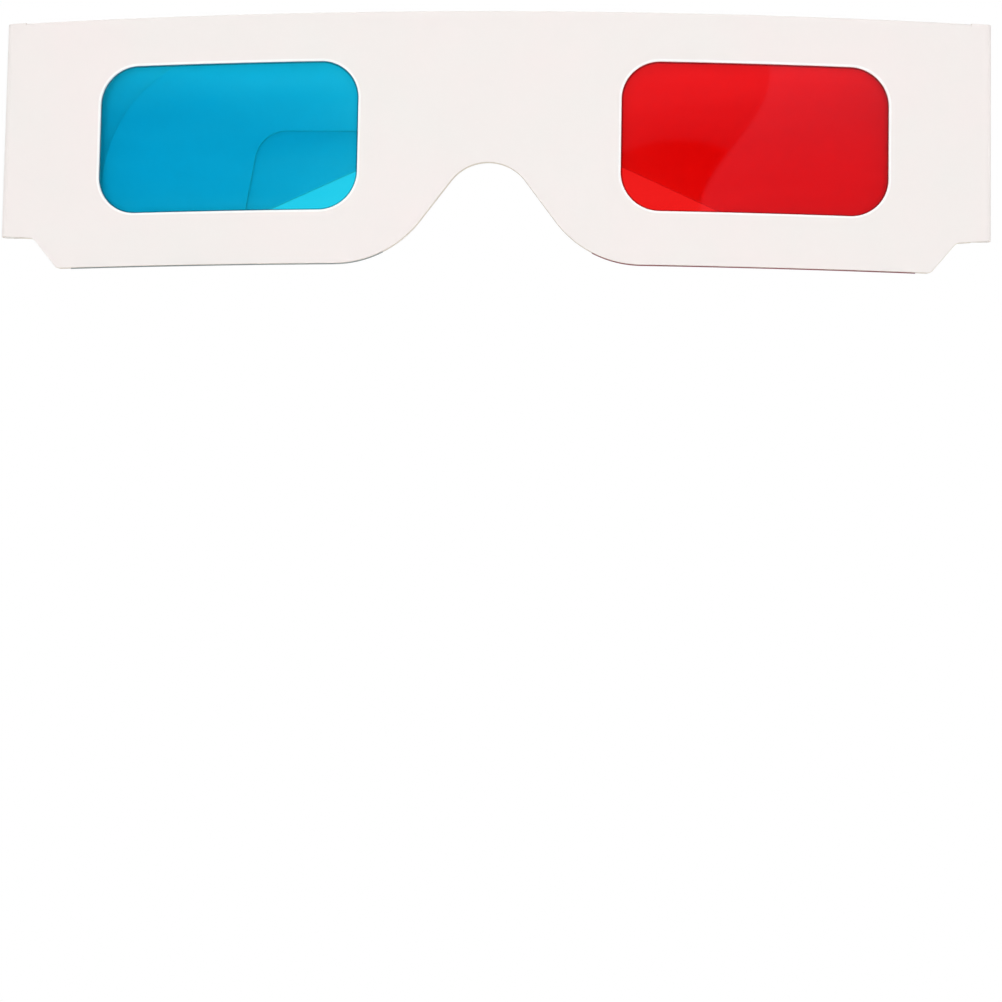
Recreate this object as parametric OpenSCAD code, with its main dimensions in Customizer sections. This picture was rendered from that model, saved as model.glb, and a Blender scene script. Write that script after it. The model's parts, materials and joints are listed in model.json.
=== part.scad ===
// Folding card viewing glasses with one cyan and one red film.
// One die-cut card blank: a bowed front, a rear card folded down behind it, and two arms that fold
// at the ends. The films are held between the two cards of the front.
// The glasses stand upright as worn, folded: +X is the wearer's left, the front faces -Y, +Z is up.
// The origin is the top of the nose arch, on the front face. All sizes are in millimetres.

/* [Front card] */
// Width across the two creases
front_w = 150; // [140:1:164]
// Height of the front
front_h = 38.3; // [37:0.1:44]
// How far the middle of the front stands ahead of its ends
bow = 8.3; // [5:0.1:11]
// Thickness of the card
card_t = 0.4; // [0.3:0.05:0.6]
// Height of the crease at each end
crease_h = 33.1; // [31:0.1:35]
// Length of the narrow tab between the crease and the slanting corner
tab_l = 5.2; // [4:0.1:7]
// How far the lower edge of the tab falls towards the slanting corner
tab_fall = 0.5; // [0:0.1:1]
// Sideways run of the slanting corner
slant_run = 3.9; // [2:0.1:5]
// Rounding of the tab and slanting corner
tab_r = 1.2; // [0.6:0.1:1.6]

/* [Windows] */
// Width of each window
window_w = 39.9; // [34:0.1:43]
// Height of each window
window_h = 22.7; // [18:0.1:24]
// Corner radius of each window
window_r = 5.8; // [3:0.1:8]
// Distance between the window centres
window_pitch = 79.3; // [76:0.1:82]
// Card above each window
window_top = 7.5; // [6:0.1:9]

/* [Nose arch] */
// Height of the arch above the lower edge
nose_rise = 15.2; // [12:0.1:18]
// Radius at the top of the arch
nose_r = 6.9; // [5:0.1:8]
// Slope of the sides of the arch, in degrees from level
nose_slope = 53; // [48:1:60]
// Radius where the arch runs out into the lower edge
mouth_r = 16; // [10:0.5:18]

/* [Rear card and films] */
// Distance from the end of the rear card to the crease
flap_gap = 3; // [2:0.1:5]
// Thickness of each film, and of the glue beside it
film_t = 0.1; // [0.05:0.01:0.2]
// How far each film reaches past the sides of its window
film_lap = 4.1; // [2:0.1:5]
// Distance from the top of the films to the top of the front
film_top = 2; // [1.4:0.1:5]
// Gap between the edge of a film and the glue
glue_gap = 0.4; // [0.2:0.1:0.8]
// Play between two layers
lay_gap = 0.01; // [0.01:0.01:0.03]

/* [Arms] */
// Gap between the end of a folded arm and the crease at the far end of the front
tip_gap = 15.1; // [4:0.1:24]
// How far the top edge of the arm falls over its length
arm_fall = 3.8; // [0:0.1:6]
// Straight lower edge of the arm beside the crease
arm_run = 31; // [20:0.5:40]
// Slope of the lower edge up to the neck, in degrees
arm_slope = 24.8; // [20:0.2:35]
// Distance from the top of the front down to the lower edge of the neck
neck_low = 16.4; // [14:0.1:18]
// Radius of the corners below the neck
arm_r = 10; // [4:0.5:14]
// Width of the hook, from the ear corner to the end of the arm
hook_w = 24.3; // [22:0.1:30]
// Radius of the ear corner
ear_r = 4.8; // [3:0.1:6]
// Lean of the ear edge, in degrees from upright
ear_lean = 9.3; // [0:0.1:12]
// Radius of the back of the hook
hook_r = 22.3; // [16:0.1:24]
// Distance from the top of the front down to the tip of the hook
tip_low = 35.4; // [34:0.1:37]
// Radius of the two corners of the tip
tip_r = 8; // [4:0.1:9]
// Gap between the rear card and the arm folded against it
arm_clear = 0.5; // [0.3:0.05:1]
// Gap between the two folded arms
arm_gap = 0.35; // [0.3:0.05:0.8]
// Flat part of the crease beyond its bend
crease_leg = 0.6; // [0.4:0.1:1.2]

/* [Hidden] */
$fa = 0.5;
$fs = 0.2;

card_white = [0.95, 0.94, 0.93];
inner_white = [0.90, 0.89, 0.87];
glue_white = [0.93, 0.91, 0.84];
film_red = [0.89, 0.10, 0.13, 0.6];
film_cyan = [0.0, 0.63, 0.82, 0.6];

LEFT = 1;
RIGHT = -1;
half_w = front_w / 2;
// Cutting shapes run this far through the card and past its edges
reach = 60;
end_over = 1;
// A corner's rounding laps over its sides, and its arc runs a little past them
sliver_lap = 0.2;
arc_ease = 0.004;
// Flat steps round the top fold
fold_steps = 16;

// Heights, measured from the top of the nose arch
low_z = -nose_rise;
top_z = low_z + front_h;
crease_z = top_z - crease_h;

// The front bends round an upright axis behind it
bow_r = (half_w * half_w + bow * bow) / (2 * bow);
mid_r = bow_r - card_t / 2;
film_r = bow_r - card_t - lay_gap;
rear_r = film_r - film_t - lay_gap;
back_r = rear_r - card_t;

// The rear card turns over the top of the front in a half-round fold
fold_in = film_t / 2 + lay_gap;
fold_out = fold_in + card_t;
fold_mid_r = bow_r - fold_out;
fold_z = top_z - fold_out;
flap_x = half_w - flap_gap;
function arc(r, from, to) = [for (i = [0 : fold_steps]) r * dir(from + (to - from) * i / fold_steps)];
function dir(angle) = [cos(angle), sin(angle)];

// Each arm lies flat behind the front, and its crease bends just far enough to reach it
function behind(r, x) = bow_r - sqrt(r * r - x * x);
left_arm_y = behind(back_r, flap_x) + arm_clear + card_t / 2;
right_arm_y = left_arm_y + card_t + arm_gap;
function arm_y(side) = side == LEFT ? left_arm_y : right_arm_y;
crease_half = half_w - card_t / 2;
function crease_b(y) = 2 * (bow_r - y + mid_r - crease_half);
function crease_c(y) = crease_half * crease_half + (bow_r - y) * (bow_r - y) - mid_r * mid_r;
function crease_r(y) = (sqrt(crease_b(y) * crease_b(y) - 4 * crease_c(y)) - crease_b(y)) / 2;
function axis_x(side) = crease_half - crease_r(arm_y(side));
function axis_y(side) = arm_y(side) - crease_r(arm_y(side));
function end_slope(side) = atan2(axis_x(side), bow_r - axis_y(side));
function arm_start(side) = half_w - axis_x(side) + crease_leg;

// Each arm runs almost to the far crease, and its ear corner is a hook's width short of its end
arm_l = front_w - tip_gap;
ear_at = arm_l - hook_w;

// Films sit behind the windows and are cut off level with the lower edge
window_x = window_pitch / 2;
film_w = window_w + 2 * film_lap;
film_top_z = top_z - film_top;

// Corners of the outline: the sides of the nose arch meet above it, and each end is cut back to a tab
mouth_x = nose_rise / tan(nose_slope) + nose_r * (1 / cos(nose_slope) - 1) / tan(nose_slope);
arch_z = mouth_x * tan(nose_slope) + low_z;
tab_x = half_w - tab_l;
slant_x = tab_x - slant_run;
end_x = half_w + end_over;
function tab_z(x) = crease_z - tab_fall * (half_w - x) / tab_l;
right_low = [[-end_x, tab_z(end_x)], [-tab_x, tab_z(tab_x)], [-slant_x, low_z]];
arch = [[-mouth_x, low_z], [0, arch_z], [mouth_x, low_z]];
left_low = [[slant_x, low_z], [tab_x, tab_z(tab_x)], [end_x, tab_z(end_x)]];
low_edge = concat(right_low, arch, left_low);
low_radii = [0, tab_r, tab_r, mouth_r, nose_r, mouth_r, tab_r, tab_r, 0];

function unit(v) = v / norm(v);
function turn(a, b) = a[0] * b[1] - a[1] * b[0];

// Sliver between a corner of an outline and the arc that rounds it, lapping over both sides of the corner
module corner_sliver(before, corner, after, r) {
    to_before = unit(before - corner);
    to_after = unit(after - corner);
    half_angle = acos(to_before * to_after) / 2;
    to_centre = unit(to_before + to_after) * r / sin(half_angle);
    side_l = r / tan(half_angle);
    grow = 1 + sliver_lap / r;
    kite = [[0, 0], to_before * side_l, to_centre, to_after * side_l];
    translate(corner + to_centre)
        difference() {
            polygon([for (point = kite) (point - to_centre) * grow]);
            circle(r + arc_ease);
        }
}

// Slivers of all corners that stick out (way = 1) or fold in (way = -1) on an anticlockwise outline
module slivers(points, radii, way) {
    n = len(points);
    for (i = [0 : n - 1]) {
        before = points[(i + n - 1) % n];
        after = points[(i + 1) % n];
        bend = turn(points[i] - before, after - points[i]);
        if (radii[i] > 0 && bend * way > 0)
            corner_sliver(before, points[i], after, radii[i]);
    }
}

// Outline whose corners are true arcs
module rounded(points, radii) {
    difference() {
        union() {
            polygon(points);
            slivers(points, radii, -1);
        }
        slivers(points, radii, 1);
    }
}

// Front-to-back prism over an outline drawn in front view
module through() {
    rotate([90, 0, 0])
        linear_extrude(2 * reach, center = true)
            children();
}

// Bent upright sheet between the two creases, from its outer radius inwards
module bent_sheet(outer_r, t) {
    translate([0, bow_r, low_z - end_over])
        rotate([0, 0, -end_slope(RIGHT) - 90])
            rotate_extrude(angle = end_slope(LEFT) + end_slope(RIGHT))
                translate([outer_r - t, 0])
                    square([t, front_h + 2 * end_over]);
}

// Bent layer with the tabs and the nose arch along its lower edge, and a top edge listed from left to right
module front_layer(outer_r, t, top) {
    intersection() {
        bent_sheet(outer_r, t);
        through() rounded(concat(low_edge, top), concat(low_radii, [for (point = top) 0]));
    }
}

module window_outlines() {
    for (side = [LEFT, RIGHT])
        translate([side * window_x, top_z - window_top - window_h / 2])
            rounded([[-window_w, -window_h] / 2, [window_w, -window_h] / 2,
                     [window_w, window_h] / 2, [-window_w, window_h] / 2],
                    [window_r, window_r, window_r, window_r]);
}

// Layer as large as the rear card, which covers the front between its two tabs
module flap_layer(outer_r, t) {
    intersection() {
        front_layer(outer_r, t, [[end_x, fold_z], [-end_x, fold_z]]);
        through()
            translate([-flap_x, low_z - end_over])
                square([2 * flap_x, front_h + 2 * end_over]);
    }
}

module film_area(side, margin) {
    translate([side * window_x - film_w / 2 - margin, low_z - end_over])
        square([film_w + 2 * margin, film_top_z - low_z + end_over + margin]);
}

// Film between the two cards, cut with them along the lower edge and the arch
module film(side) {
    intersection() {
        flap_layer(film_r, film_t);
        through() film_area(side, 0);
    }
}

// Bend of the card at one end, round the axis that its arm turns on, with a flat leg that the arm continues
module crease(side) {
    r = crease_r(arm_y(side));
    far = 2 * r + card_t;
    front_end = far * [sin(end_slope(side)), -cos(end_slope(side))];
    mirror([side == RIGHT ? 1 : 0, 0, 0])
        translate([axis_x(side), axis_y(side), crease_z])
            linear_extrude(crease_h) {
                intersection() {
                    difference() {
                        circle(r + card_t / 2);
                        circle(r - card_t / 2);
                    }
                    polygon([[0, 0], front_end, [far, -far], [far, far], [0, far]]);
                }
                translate([-crease_leg, r - card_t / 2])
                    square([crease_leg, card_t]);
            }
}

// Arm outline, drawn from the crease at x = 0 towards the hook
module arm_outline(start) {
    neck_z = top_z - neck_low;
    tip_z = top_z - tip_low;
    neck_x = arm_run + (neck_z - crease_z) / tan(arm_slope);
    tip_x = ear_at + (neck_z - tip_z) * tan(ear_lean);
    start_z = top_z - arm_fall * start / arm_l;
    rounded([[start, crease_z], [arm_run, crease_z], [neck_x, neck_z], [ear_at, neck_z],
             [tip_x, tip_z], [arm_l, tip_z], [arm_l, top_z - arm_fall], [start, start_z]],
            [0, arm_r, arm_r, ear_r, tip_r, tip_r, hook_r, 0]);
}

// Flat arm, folded in behind the front
module arm(side) {
    translate([side * half_w, arm_y(side) + card_t / 2, 0])
        mirror([side == LEFT ? 1 : 0, 0, 0])
            rotate([90, 0, 0])
                linear_extrude(card_t)
                    arm_outline(arm_start(side));
}

module front_card() {
    top = [[end_x, top_z], [flap_x, top_z], [flap_x, fold_z],
           [-flap_x, fold_z], [-flap_x, top_z], [-end_x, top_z]];
    color(card_white)
        difference() {
            front_layer(bow_r, card_t, top);
            through() window_outlines();
        }
}

module rear_card() {
    color(inner_white)
        difference() {
            flap_layer(rear_r, card_t);
            through() window_outlines();
        }
}

module top_fold() {
    color(card_white)
        intersection() {
            translate([0, bow_r, fold_z])
                rotate([0, 0, -end_slope(RIGHT) - 90])
                    rotate_extrude(angle = end_slope(LEFT) + end_slope(RIGHT))
                        translate([fold_mid_r, 0])
                            polygon(concat(arc(fold_out, 0, 180), arc(fold_in, 180, 0)));
            through()
                translate([-flap_x, fold_z])
                    square([2 * flap_x, fold_out]);
        }
}

module glue_layer() {
    color(glue_white)
        difference() {
            flap_layer(film_r, film_t);
            for (side = [LEFT, RIGHT])
                through() film_area(side, glue_gap);
        }
}

module red_film() {
    color(film_red) film(LEFT);
}

module cyan_film() {
    color(film_cyan) film(RIGHT);
}

module left_crease() {
    color(card_white) crease(LEFT);
}

module right_crease() {
    color(card_white) crease(RIGHT);
}

module left_arm() {
    color(inner_white) arm(LEFT);
}

module right_arm() {
    color(inner_white) arm(RIGHT);
}

front_card();
rear_card();
top_fold();
glue_layer();
red_film();
cyan_film();
left_crease();
right_crease();
left_arm();
right_arm();
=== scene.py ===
# %% [markdown]
# # Folding card glasses with a red and a cyan film
# The real object is one sheet of white coated card and two small pieces of coloured plastic
# film. A die cuts the card, the rear leaf is folded over the top of the front leaf with the
# films glued in between, and two creases at the ends turn the arms in behind the front.
# The lesson builds those pieces in that order: flat blank first, then fold, then bow. It
# starts by loading the frame, the solid model that carries the looks.

# %% Load the frame
import json
from collections import namedtuple
from math import acos, atan2, ceil, cos, pi, radians, sin, sqrt, tan

import bpy
import numpy as np
from mathutils import Matrix, Vector
from mathutils.geometry import delaunay_2d_cdt


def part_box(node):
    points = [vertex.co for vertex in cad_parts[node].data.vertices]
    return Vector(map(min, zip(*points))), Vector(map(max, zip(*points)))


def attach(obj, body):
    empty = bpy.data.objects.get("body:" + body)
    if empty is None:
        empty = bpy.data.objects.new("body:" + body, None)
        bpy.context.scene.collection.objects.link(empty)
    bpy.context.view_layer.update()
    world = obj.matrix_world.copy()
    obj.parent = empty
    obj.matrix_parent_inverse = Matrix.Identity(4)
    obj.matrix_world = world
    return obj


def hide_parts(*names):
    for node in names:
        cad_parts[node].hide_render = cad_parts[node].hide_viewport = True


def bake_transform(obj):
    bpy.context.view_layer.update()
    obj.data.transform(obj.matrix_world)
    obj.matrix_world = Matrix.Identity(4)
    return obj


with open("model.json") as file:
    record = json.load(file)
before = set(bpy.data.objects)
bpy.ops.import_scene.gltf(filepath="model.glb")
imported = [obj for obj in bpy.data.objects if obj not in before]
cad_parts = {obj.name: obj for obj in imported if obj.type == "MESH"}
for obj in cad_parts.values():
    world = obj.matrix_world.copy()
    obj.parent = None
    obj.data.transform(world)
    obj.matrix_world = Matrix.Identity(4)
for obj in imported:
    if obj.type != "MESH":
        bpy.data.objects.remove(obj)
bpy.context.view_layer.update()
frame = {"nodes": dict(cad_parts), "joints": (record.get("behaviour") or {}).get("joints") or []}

MM = 0.001


def mm(length):
    """A length of the frame in millimetres, without rounding noise."""
    return round(length / MM, 4)


def in_mm(box):
    """Lowest and highest corner of a box, in millimetres."""
    return [[mm(v) for v in corner] for corner in box]


# %% [markdown]
# ## Sizes
# A card blank is known by a few sizes: the thickness of the board, the width across the
# creases, the heights of its edges, and how far the front bows forward. All of them could be
# typed in again here. The frame already holds most of them, so they are read from its boxes,
# and a piece can't drift away from the node that it stands for. Sizes are in millimetres.
# The front faces -Y, +Z is up, and the origin is the top of the nose arch on the front face.

# %% Sizes of the card
CARD_T = 0.4
HALF_W = 75.0
BOW = 8.3
BOW_R = (HALF_W ** 2 + BOW ** 2) / (2 * BOW)


def corners_of(node):
    """Lowest and highest corner of a node of the frame, in millimetres."""
    return in_mm(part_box(node))


LOW_Z = corners_of("front_card")[0][2]
CREASE_Z = corners_of("left_crease")[0][2]
FOLD_Z, TOP_Z = (corner[2] for corner in corners_of("top_fold"))
FLAP_X = corners_of("rear_card")[1][0]
print("bow radius", round(BOW_R, 2), "half rear leaf", FLAP_X)
print("heights of lower edge, creases, fold line and top", LOW_Z, CREASE_Z, FOLD_Z, TOP_Z)

# %% [markdown]
# ## Hinge lines
# The glasses have no hinge pins: the card itself bends. Each arm still turns about one upright
# line, the middle of its crease's bend, and the frame's joints say where it is. The radius of
# the bend follows from the arm's distance behind that line, and the slope at the front's end
# from the bow. With both, front, crease and arm meet without a gap.

# %% Hinge lines
Hinge = namedtuple("Hinge", "side x y radius slope end_x")
HINGES = {}
for joint in frame["joints"]:
    x, y = mm(joint["pos_m"][0]), mm(joint["pos_m"][1])
    bend_r = corners_of(joint["child"])[0][1] + CARD_T / 2 - y
    slope = atan2(abs(x), BOW_R - y)
    name = joint["child"].split("_")[0]
    HINGES[name] = Hinge(1 if x > 0 else -1, abs(x), y, bend_r, slope, BOW_R * sin(slope))
print(HINGES)

# %% [markdown]
# ## Outlines
# A cutting die is bent steel rule: straight runs joined by round bends. Tracing hundreds of
# points by hand would hide that. So an outline here is a short list of corners, each with its
# radius, and this helper turns it into closely spaced points. The windows are the first use.

# %% Outline helper
# Share of a gap by which a straight run may be too long before it is divided once more
ROUNDING = 1e-6


def unit(v):
    return v / np.linalg.norm(v)


def die_line(corners, step=0.3, gap=2.0, fewest=8):
    """Points along a closed line of (x, z, radius) corners, with long straight runs divided up."""
    points = []
    for i, (x, z, radius) in enumerate(corners):
        here = np.array((x, z))
        if radius == 0:
            points.append(here)
            continue
        back = unit(np.array(corners[i - 1][:2]) - here)
        ahead = unit(np.array(corners[(i + 1) % len(corners)][:2]) - here)
        half = acos(np.clip(back @ ahead, -1, 1)) / 2
        centre = here + unit(back + ahead) * radius / sin(half)
        first = here + back * radius / tan(half) - centre
        last = here + ahead * radius / tan(half) - centre
        angle = atan2(first[1], first[0])
        sweep = (atan2(last[1], last[0]) - angle + pi) % (2 * pi) - pi
        count = max(fewest, ceil(abs(sweep) * radius / step))
        for j in range(count + 1):
            a = angle + sweep * j / count
            points.append(centre + radius * np.array((cos(a), sin(a))))
    line = []
    for here, after in zip(points, points[1:] + points[:1]):
        count = max(1, ceil(np.linalg.norm(after - here) / gap - ROUNDING))
        line += [here + (after - here) * j / count for j in range(count)]
    return np.array(line)


# %% Window outlines
WINDOW_W, WINDOW_H, WINDOW_R = 39.9, 22.7, 5.8
WINDOW_SPACING, WINDOW_DROP = 79.3, 7.5
WINDOW_X = WINDOW_SPACING / 2
WINDOW_HIGH = TOP_Z - WINDOW_DROP
WINDOW_LOW = WINDOW_HIGH - WINDOW_H


def window_line(side, flip=lambda z: z):
    """One window, drawn clockwise because it is a hole."""
    x0, x1 = side * WINDOW_X - WINDOW_W / 2, side * WINDOW_X + WINDOW_W / 2
    z0, z1 = sorted((flip(WINDOW_LOW), flip(WINDOW_HIGH)))
    return die_line([(x0, z0, WINDOW_R), (x0, z1, WINDOW_R), (x1, z1, WINDOW_R), (x1, z0, WINDOW_R)])


print("window outline of", len(window_line(1)), "points,",
      "from", round(WINDOW_LOW, 2), "up to", round(WINDOW_HIGH, 2))

# %% [markdown]
# ## Filling an outline
# A flat sheet could be one big many-sided face, but such a face can't bend. The sheet needs
# points all over it, close enough for the bow and closer still at the fold. So rows of points
# are laid inside the outline, and a Delaunay triangulation joins them with the outline itself.

# %% Moving an outline inwards
# At a sharp corner the line moves by no more than the distance divided by this
SHARPEST = 0.5


def inset(line, distance):
    """The line moved into the sheet, which lies on its left, by a distance."""
    before = line - np.roll(line, 1, 0)
    after = np.roll(line, -1, 0) - line
    left_a = np.stack((-before[:, 1], before[:, 0]), 1) / np.linalg.norm(before, axis=1)[:, None]
    left_b = np.stack((-after[:, 1], after[:, 0]), 1) / np.linalg.norm(after, axis=1)[:, None]
    mid = left_a + left_b
    mid /= np.linalg.norm(mid, axis=1)[:, None]
    return line + mid * (distance / np.maximum((mid * left_a).sum(1), SHARPEST))[:, None]


# %% Fill helper
# Kind of Delaunay result, only triangles inside the lines, and how close points count as one
INSIDE_LINES, MERGE = 1, 1e-7


def inside(points, lines):
    """True for points inside the outline and outside its holes."""
    hit = np.zeros(len(points), bool)
    for line in lines:
        for (ax, az), (bx, bz) in zip(line, np.roll(line, -1, 0)):
            if az == bz:
                continue
            crosses = (az > points[:, 1]) != (bz > points[:, 1])
            hit ^= crosses & (points[:, 0] < (bx - ax) * (points[:, 1] - az) / (bz - az) + ax)
    return hit


def fill(lines, rows, clear=0.3):
    """Extra points inside the lines at the given rows (z, spacing), and triangles over all points."""
    rim = np.concatenate(lines)
    grid = np.array([(x, z) for z, gap in rows
                     for x in np.arange(rim[:, 0].min() + gap / 2, rim[:, 0].max(), gap)])
    grid = grid[inside(grid, lines)]
    grid = grid[[np.abs(rim - p).max(1).min() > clear for p in grid]]
    every = np.concatenate((rim, grid))
    edges, start = [], 0
    for line in lines:
        edges += [(start + i, start + (i + 1) % len(line)) for i in range(len(line))]
        start += len(line)
    result = delaunay_2d_cdt([Vector(p) for p in every], edges, [], INSIDE_LINES, MERGE)
    faces, origins = result[2:4]
    triangles = np.array([[origins[i][0] for i in face] for face in faces])
    triangles = triangles[inside(every[triangles].mean(1), lines)]
    a, b, c = (every[triangles[:, i]] for i in range(3))
    turn = (b[:, 0] - a[:, 0]) * (c[:, 1] - a[:, 1]) - (b[:, 1] - a[:, 1]) * (c[:, 0] - a[:, 0])
    triangles[turn < 0] = triangles[turn < 0][:, ::-1]
    return grid, triangles


print("a window filled alone has", len(fill([window_line(1)[::-1]], [(4.0, 2.0)])[1]), "triangles")

# %% [markdown]
# ## A sheet with a real cut edge
# A card edge is never a razor-sharp box. The die rounds both lips over by less than a tenth of
# a millimetre, and the cut shows the bare core. A Bevel modifier would round every edge alike.
# So each sheet is a row of rings along its outline, from the flat of one face round the edge to
# the flat of the other, and each ring has its own inset and depth. Two attributes go with it:
# `side` names the face of the card, and the other marks where painted light goes, a pale band
# beside each window and its cut edge.

# %% Sheet helper
COATED, BARE, CUT = 0, 1, 2
# Rings of an edge: distance in from the outline, depth, and whether the strip to the next ring is cut
CARD_EDGE = ((0.4, 0, False), (0.26, 0, False), (0.07, 0, False), (0.02, 0.02, True), (0, 0.07, True))
# On the films the cut strips reach 0.12 mm in over both faces, so the dark cut tone lies there too as
# painted shade
FILM_EDGE = ((0.3, 0, False), (0.12, 0, True), (0.11, 0, True), (0.015, 0, True), (0, 0.015, True))
# Share of the inset that is left where a sheet goes on into its neighbour and has no cut edge
JOINED_SHARE = 0.02


def sheet(lines, thickness, rows, faces=(COATED, BARE), edge=CARD_EDGE, joined=None):
    """Closed sheet in (x, depth, z) over an outline and its holes, sharp where it joins a neighbour."""
    profile = [(d, depth) for d, depth, _ in edge]
    profile += [(d, thickness - depth) for d, depth in profile[::-1]]
    cut = [strip for _, _, strip in edge]
    kinds = [CUT if strip else faces[0] for strip in cut]
    kinds += [CUT if strip else faces[1] for strip in cut[-2::-1]]

    def ring(line, distance):
        share = 1.0 if joined is None else np.where(joined(line), JOINED_SHARE, 1.0)[:, None]
        return line + (inset(line, distance) - line) * share

    grid, triangles = fill([ring(line, edge[0][0]) for line in lines], rows)
    holes = np.concatenate([np.full(len(line), float(i > 0)) for i, line in enumerate(lines)])
    count, levels = len(holes), len(profile)
    verts, painted_edge_light = [], []
    for k, (distance, depth) in enumerate(profile):
        flat = np.concatenate([ring(line, distance) for line in lines])
        verts.append(np.stack((flat[:, 0], np.full(count, depth), flat[:, 1]), 1))
        # Painted light along the windows: 1 on the rings round each hole, 0 on the flat faces
        painted_edge_light.append(holes * (0 < k < levels - 1))
    for depth in (0, thickness):
        verts.append(np.stack((grid[:, 0], np.full(len(grid), depth), grid[:, 1]), 1))
        painted_edge_light.append(np.zeros(len(grid)))
    polygons, side = [], []
    start = 0
    for line in lines:
        for k, kind in enumerate(kinds):
            a, b = k * count + start, (k + 1) * count + start
            for i in range(len(line)):
                j = (i + 1) % len(line)
                polygons.append((a + i, b + i, b + j, a + j))
                side.append(kind)
        start += len(line)
    last = (levels - 1) * count
    front = np.where(triangles < count, triangles, triangles + last)
    rear = np.where(triangles < count, triangles + last, triangles + last + len(grid))
    polygons += [tuple(t) for t in front.tolist()] + [tuple(t[::-1]) for t in rear.tolist()]
    side += [faces[0]] * len(front) + [faces[1]] * len(rear)
    return np.concatenate(verts), polygons, side, np.concatenate(painted_edge_light)


# %% From sheet to object
def make_piece(name, verts, polygons, side, painted_edge_light, materials):
    """Object from a sheet, with the material of each face and the two attributes."""
    mesh = bpy.data.meshes.new(name)
    mesh.from_pydata((verts * MM).tolist(), [], polygons)
    for material in materials:
        mesh.materials.append(material)
    mesh.polygons.foreach_set("material_index", np.minimum(side, len(materials) - 1).astype(np.int32))
    mesh.polygons.foreach_set("use_smooth", np.ones(len(polygons), bool))
    mesh.attributes.new("side", "INT", "FACE").data.foreach_set("value", np.array(side, np.int32))
    mesh.attributes.new("painted_edge_light", "FLOAT", "POINT").data.foreach_set("value", np.array(painted_edge_light, np.float32))
    mesh.update()
    piece = bpy.data.objects.new(name, mesh)
    bpy.context.scene.collection.objects.link(piece)
    return piece


print("card edge of", 2 * len(CARD_EDGE), "rings, film edge of", 2 * len(FILM_EDGE))

# %% [markdown]
# ## Card fibre
# The card is bleached board. Even a smooth board shows a faint cloudiness, from fibres that
# settle unevenly, and a fine tooth where light grazes it. An image of paper would tile and
# blur, so both come from noise in one node group that all card finishes share. The tooth is
# stretched upwards, the way the fibres lie.

# %% Fibre pattern
CLOUD_SCALE, CLOUD_DETAIL, CLOUD_ROUGHNESS = 42, 5, 0.6
TOOTH_SCALE, TOOTH_DETAIL, TOOTH_STRETCH = 1500, 3, 0.35


def add(tree, kind, **settings):
    """A new node in a tree, with its settings."""
    node = tree.nodes.new(kind)
    for name, value in settings.items():
        setattr(node, name, value)
    return node


def fibre_group():
    """Cloudiness and fine tooth of the board."""
    group = bpy.data.node_groups.new("card_fibre", "ShaderNodeTree")
    fineness = group.interface.new_socket(name="Fineness", in_out="INPUT", socket_type="NodeSocketFloat")
    fineness.default_value = TOOTH_SCALE
    group.interface.new_socket(name="Cloud", in_out="OUTPUT", socket_type="NodeSocketFloat")
    group.interface.new_socket(name="Tooth", in_out="OUTPUT", socket_type="NodeSocketFloat")
    source, result = add(group, "NodeGroupInput"), add(group, "NodeGroupOutput")
    place = add(group, "ShaderNodeTexCoord")
    cloud = add(group, "ShaderNodeTexNoise")
    cloud.inputs["Scale"].default_value = CLOUD_SCALE
    cloud.inputs["Detail"].default_value = CLOUD_DETAIL
    cloud.inputs["Roughness"].default_value = CLOUD_ROUGHNESS
    stretch = add(group, "ShaderNodeMapping")
    stretch.inputs["Scale"].default_value = (1, 1, TOOTH_STRETCH)
    tooth = add(group, "ShaderNodeTexNoise")
    tooth.inputs["Detail"].default_value = TOOTH_DETAIL
    links = group.links.new
    links(place.outputs["Object"], cloud.inputs["Vector"])
    links(place.outputs["Object"], stretch.inputs["Vector"])
    links(stretch.outputs["Vector"], tooth.inputs["Vector"])
    links(source.outputs["Fineness"], tooth.inputs["Scale"])
    links(cloud.outputs["Fac"], result.inputs["Cloud"])
    links(tooth.outputs["Fac"], result.inputs["Tooth"])
    return group


FIBRE = fibre_group()
print("node group", FIBRE.name)

# %% [markdown]
# ## Card finishes
# One board has three finishes. Its outside is coated, smooth and faintly warm. Its inside is
# bare and rougher. Its cut edge is tan, partly the tone of the core and partly painted shade,
# because the cut edges lie in shade. They differ in tone, in the fineness of the tooth and in
# gloss, so one function makes all three from those values. Along each window an attribute mixes
# in a paler tone: painted light, a pale band beside the window and paler cut edges inside it.

# %% Ramp and range helpers
def ramp(tree, value, spread, first, last):
    """Colour between two tones, which are reached at the two ends of a spread of the value."""
    node = add(tree, "ShaderNodeValToRGB")
    for element, place, tone in zip(node.color_ramp.elements, spread, (first, last)):
        element.position = place
        element.color = (*tone, 1)
    tree.links.new(value, node.inputs["Fac"])
    return node.outputs["Color"]


def remap(tree, value, start, end, low=0.0, high=1.0, kind="SMOOTHSTEP"):
    """The value between start and end, mapped to between low and high."""
    node = add(tree, "ShaderNodeMapRange", interpolation_type=kind)
    tree.links.new(value, node.inputs["Value"])
    for name, number in zip(("From Min", "From Max", "To Min", "To Max"), (start, end, low, high)):
        node.inputs[name].default_value = number
    return node.outputs["Result"]


# %% Card materials
TONE_SPREAD = (0.3, 0.7)
TOOTH_HEIGHT = 0.04
CARD_SHEEN = 0.2


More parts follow.
